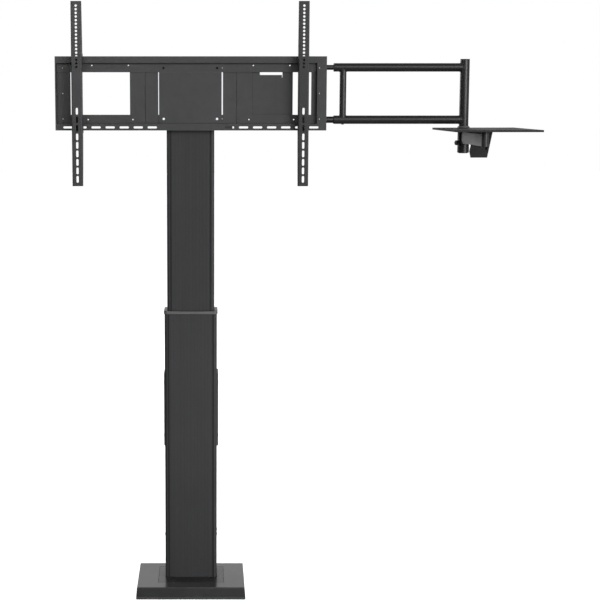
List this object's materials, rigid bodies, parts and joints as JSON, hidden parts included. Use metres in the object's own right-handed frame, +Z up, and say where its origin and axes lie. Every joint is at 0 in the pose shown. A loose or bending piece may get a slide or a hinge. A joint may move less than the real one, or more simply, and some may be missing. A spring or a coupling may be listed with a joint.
{
  "type": "motorised tv lift column",
  "caption": "Motor-driven telescopic floor column that raises a screen frame with slotted hanging arms and a side arm with a swivelling tray.",
  "frame": {"origin": "on the floor, on the axis of the column", "axes": "+Z up along the column, +X to the viewer's right along the screen frame, -Y towards the viewer"},
  "size_m": [1.6657, 0.5351, 2.146],
  "materials": {
    "base_paint": "fine textured black powder coat",
    "trim_plastic": "fine grained black plastic",
    "column_black": "black powder-coated extrusion",
    "bracket_paint": "black powder coat",
    "frame_paint": "fine textured black powder coat",
    "lid_paint": "black powder coat",
    "arm_paint": "fine textured black powder coat",
    "hook_paint": "black powder coat",
    "tube_paint": "satin black powder coat",
    "tray_paint": "fine textured black powder coat",
    "bell_paint": "satin black",
    "link_paint": "satin dark grey",
    "rod_steel": "black oxide, smooth",
    "black_bolts": "black oxide",
    "zinc_screws": "zinc plated",
    "knob_plastic": "moulded black plastic",
    "glide_plastic": "natural acetal",
    "box_plastic": "grained black plastic",
    "motor_metal": "grey painted can",
    "cast_metal": "die cast, as cast",
    "spindle_steel": "ground steel with a film of grease",
    "nut_bronze": "machined bronze"
  },
  "bodies": {
    "base": {"base_plate": "base_paint", "base_cover": "base_paint", "foot_trim": "trim_plastic", "foot_flange": "bracket_paint", "foot_bolts": "zinc_screws", "levelling_screws": "zinc_screws", "outer_profile": "column_black", "top_collar": "trim_plastic", "outer_glides": "glide_plastic", "wall_bracket": "bracket_paint", "wall_bracket_screws": "zinc_screws", "power_inlet": "box_plastic", "drive_motor": "motor_metal", "gear_housing": "cast_metal", "bearing_block": "cast_metal", "spindle_bearing": "spindle_steel", "block_screws": "zinc_screws"},
    "spindle_shaft": {"spindle": "spindle_steel", "spindle_collar": "spindle_steel", "spindle_stop": "spindle_steel"},
    "lift": {"inner_profile": "column_black", "inner_plug": "cast_metal", "spindle_nut": "nut_bronze", "inner_glides": "glide_plastic", "head_plate": "bracket_paint", "head_bracket": "bracket_paint", "frame_bars": "frame_paint", "left_panel": "frame_paint", "right_panel": "frame_paint", "middle_panel": "frame_paint", "top_rail": "frame_paint", "adapter_plate": "frame_paint", "accessory_cover": "lid_paint", "control_box": "box_plastic", "adapter_bolts": "black_bolts", "frame_screws": "zinc_screws", "rod_blocks": "hook_paint", "upper_rod": "rod_steel", "lower_rod": "rod_steel"},
    "left_hanger": {"left_arm": "arm_paint", "left_arm_hooks": "hook_paint"},
    "left_lock": {"left_lock_screw": "knob_plastic"},
    "right_hanger": {"right_arm": "arm_paint", "right_arm_hooks": "hook_paint"},
    "right_lock": {"right_lock_screw": "knob_plastic"},
    "side_arm": {"upper_tube": "tube_paint", "lower_tube": "tube_paint", "brace_tube": "tube_paint", "tube_bushes": "glide_plastic", "post": "tube_paint", "post_cap": "trim_plastic", "stop_collar": "tube_paint"},
    "tube_clamp": {"tube_screw": "black_bolts"},
    "tray_arm": {"tray_hub": "tube_paint", "link_bar": "link_paint", "tray_boss": "tube_paint", "tray_gusset": "tube_paint", "tray_plate": "tray_paint", "bell_collar": "bell_paint"},
    "hub_lock": {"hub_knob": "knob_plastic"}
  },
  "joints": [
    {"name": "column_lift", "type": "slide", "parent": "base", "child": "lift", "axis": [0, 0, 1], "range_m": [-0.6, 0.05]},
    {"name": "spindle_spin", "type": "hinge", "parent": "base", "child": "spindle_shaft", "pos_m": [0, 0, 0.2], "axis": [0, 0, 1], "range_deg": [-901, 10801]},
    {"name": "left_arm_slide", "type": "slide", "parent": "lift", "child": "left_hanger", "axis": [1, 0, 0], "range_m": [-0.055, 0.2]},
    {"name": "right_arm_slide", "type": "slide", "parent": "lift", "child": "right_hanger", "axis": [1, 0, 0], "range_m": [-0.2, 0.055]},
    {"name": "left_lock_turn", "type": "hinge", "parent": "left_hanger", "child": "left_lock", "pos_m": [-0.393, -0.0525, 1.67], "axis": [0, 0, -1], "range_deg": [0, 720]},
    {"name": "right_lock_turn", "type": "hinge", "parent": "right_hanger", "child": "right_lock", "pos_m": [0.393, -0.0525, 1.67], "axis": [0, 0, -1], "range_deg": [0, 720]},
    {"name": "side_arm_slide", "type": "slide", "parent": "lift", "child": "side_arm", "axis": [1, 0, 0], "range_m": [-0.02, 0.15]},
    {"name": "tube_screw_turn", "type": "hinge", "parent": "side_arm", "child": "tube_clamp", "pos_m": [0.544, -0.044, 1.717], "axis": [0, 0, -1], "range_deg": [0, 360]},
    {"name": "tray_swivel", "type": "hinge", "parent": "side_arm", "child": "tray_arm", "pos_m": [0.9775, -0.044, 1.68], "axis": [0, 0, 1], "range_deg": [-90, 90]},
    {"name": "hub_knob_turn", "type": "hinge", "parent": "tray_arm", "child": "hub_lock", "pos_m": [0.95653, -0.05762, 1.6512], "axis": [-0.8387, -0.5446, 0], "range_deg": [0, 720]}
  ],
  "couplings": [
    {"joint": "spindle_spin", "follows": "column_lift", "rad_per_m": -314.16}
  ]
}
